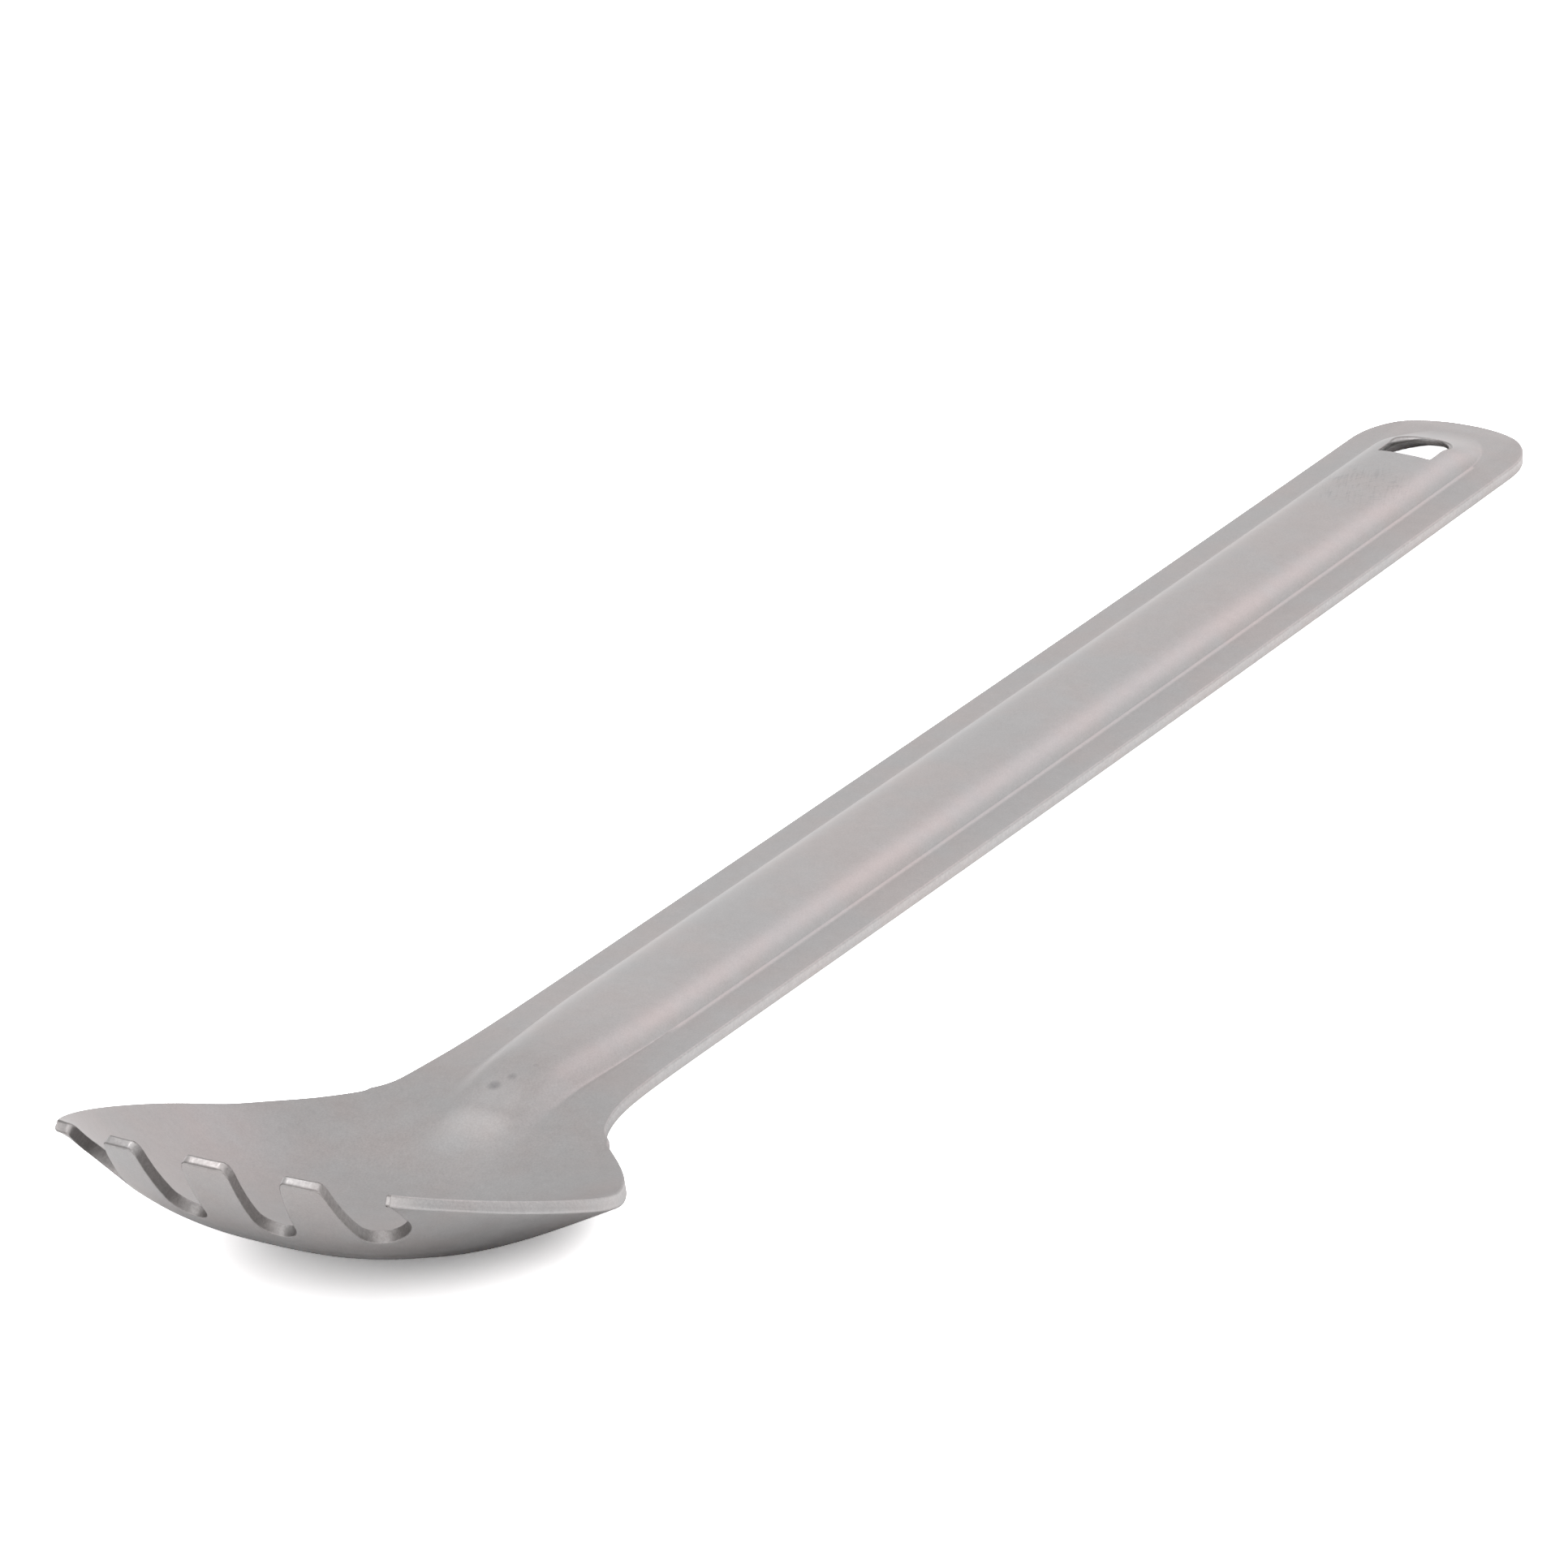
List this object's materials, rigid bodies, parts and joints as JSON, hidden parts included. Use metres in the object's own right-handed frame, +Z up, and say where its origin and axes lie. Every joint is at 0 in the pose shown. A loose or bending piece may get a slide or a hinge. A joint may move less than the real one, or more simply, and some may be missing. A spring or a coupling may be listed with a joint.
{
  "type": "spork",
  "caption": "Long-handled metal spork: an oval spoon bowl with short tines cut in its front edge, a flat handle with a raised rib, and an arched hang hole at the end.",
  "frame": {"origin": "middle of the bounding box at its base, on the surface that the spork lies on with its bowl up", "axes": "+X runs along the handle from the tines to the hang hole, +Y runs across, +Z points up out of the bowl"},
  "size_m": [0.2192, 0.038, 0.0159],
  "materials": {
    "titanium_sheet": "fine blasted titanium, satin, slightly worn on the edges"
  },
  "bodies": {
    "root": {"spork_body": "titanium_sheet"}
  },
  "joints": []
}
